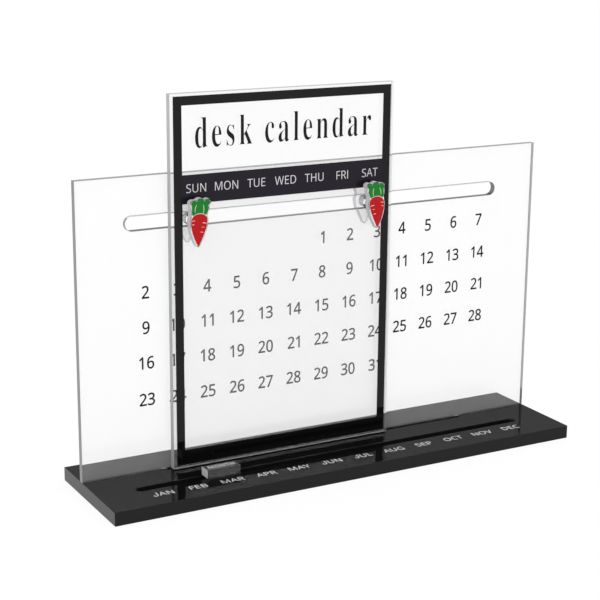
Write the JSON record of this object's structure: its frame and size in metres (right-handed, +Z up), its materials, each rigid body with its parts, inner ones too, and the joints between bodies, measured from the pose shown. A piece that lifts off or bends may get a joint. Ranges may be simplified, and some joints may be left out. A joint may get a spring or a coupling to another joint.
{
  "type": "perpetual desk calendar",
  "caption": "Acrylic desk calendar: an upright date sheet on a black base, a framed window sheet that slides across it on two carrot knobs, and a month marker that slides in a groove.",
  "frame": {"origin": "centre of the base's underside, on the table", "axes": "+X along the base to the reader's right, +Y from the reader towards the rear, +Z up"},
  "size_m": [0.3, 0.076, 0.221],
  "materials": {
    "black_acrylic": "polished black cast acrylic",
    "clear_sheet": "polished clear cast acrylic sheet",
    "clear_window": "polished clear cast acrylic sheet",
    "frame_print": "black printed layer under a satin surface",
    "band_print": "very dark grey printed layer",
    "clear_knob": "laser-cut clear acrylic with polished edges",
    "clear_pin": "clear acrylic rod",
    "red_print": "red printed layer",
    "green_print": "green printed layer",
    "clear_marker": "clear acrylic block"
  },
  "bodies": {
    "base": {"base_slab": "black_acrylic", "date_sheet": "clear_sheet"},
    "window": {"window_sheet": "clear_window", "window_frame_print": "frame_print", "weekday_band_print": "band_print", "left_knob_front": "clear_knob", "left_knob_rear": "clear_knob", "left_knob_pin": "clear_pin", "left_knob_root_print": "red_print", "left_knob_leaf_print": "green_print", "right_knob_front": "clear_knob", "right_knob_rear": "clear_knob", "right_knob_pin": "clear_pin", "right_knob_root_print": "red_print", "right_knob_leaf_print": "green_print"},
    "month_marker": {"month_marker_block": "clear_marker", "month_marker_tongue": "clear_marker"}
  },
  "joints": [
    {"name": "window_slide", "type": "slide", "parent": "base", "child": "window", "axis": [1, 0, 0], "range_m": [-0.0345, 0.0873]},
    {"name": "month_marker_slide", "type": "slide", "parent": "base", "child": "month_marker", "axis": [1, 0, 0], "range_m": [-0.0405, 0.1919]}
  ]
}
